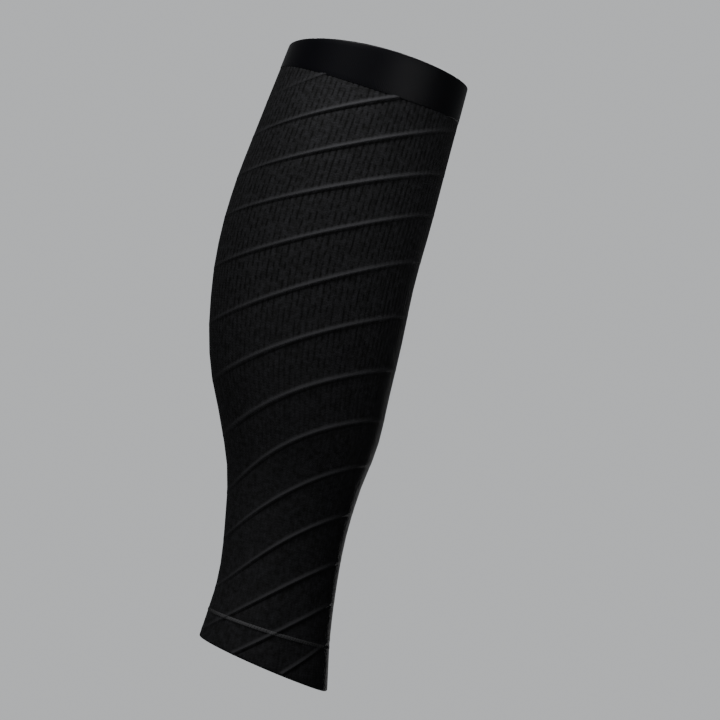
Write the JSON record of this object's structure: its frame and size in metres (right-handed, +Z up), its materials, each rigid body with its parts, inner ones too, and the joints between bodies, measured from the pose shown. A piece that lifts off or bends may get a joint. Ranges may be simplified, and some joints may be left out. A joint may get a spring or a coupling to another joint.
{
  "type": "calf compression sleeve",
  "caption": "Footless compression sleeve for the lower leg: ribbed knit tube shaped to the calf, smooth elastic top band and sewn ankle hem.",
  "frame": {"origin": "inside the hollow, on the line through the centres of the two openings, at the level where the calf is fullest", "axes": "+Z runs up the leg from the ankle opening to the top opening, +X points to the shin, -Y to the side of the leg that the picture shows"},
  "size_m": [0.1273, 0.1086, 0.3688],
  "materials": {
    "ribbed_knit": "matt black ribbed knit of nylon and elastane",
    "smooth_elastic": "satin black flat-knit elastic",
    "seam_thread": "dull black stretch thread"
  },
  "bodies": {
    "root": {"leg_tube": "ribbed_knit", "ankle_hem": "ribbed_knit", "top_band": "smooth_elastic", "hem_seam": "seam_thread"}
  },
  "joints": []
}
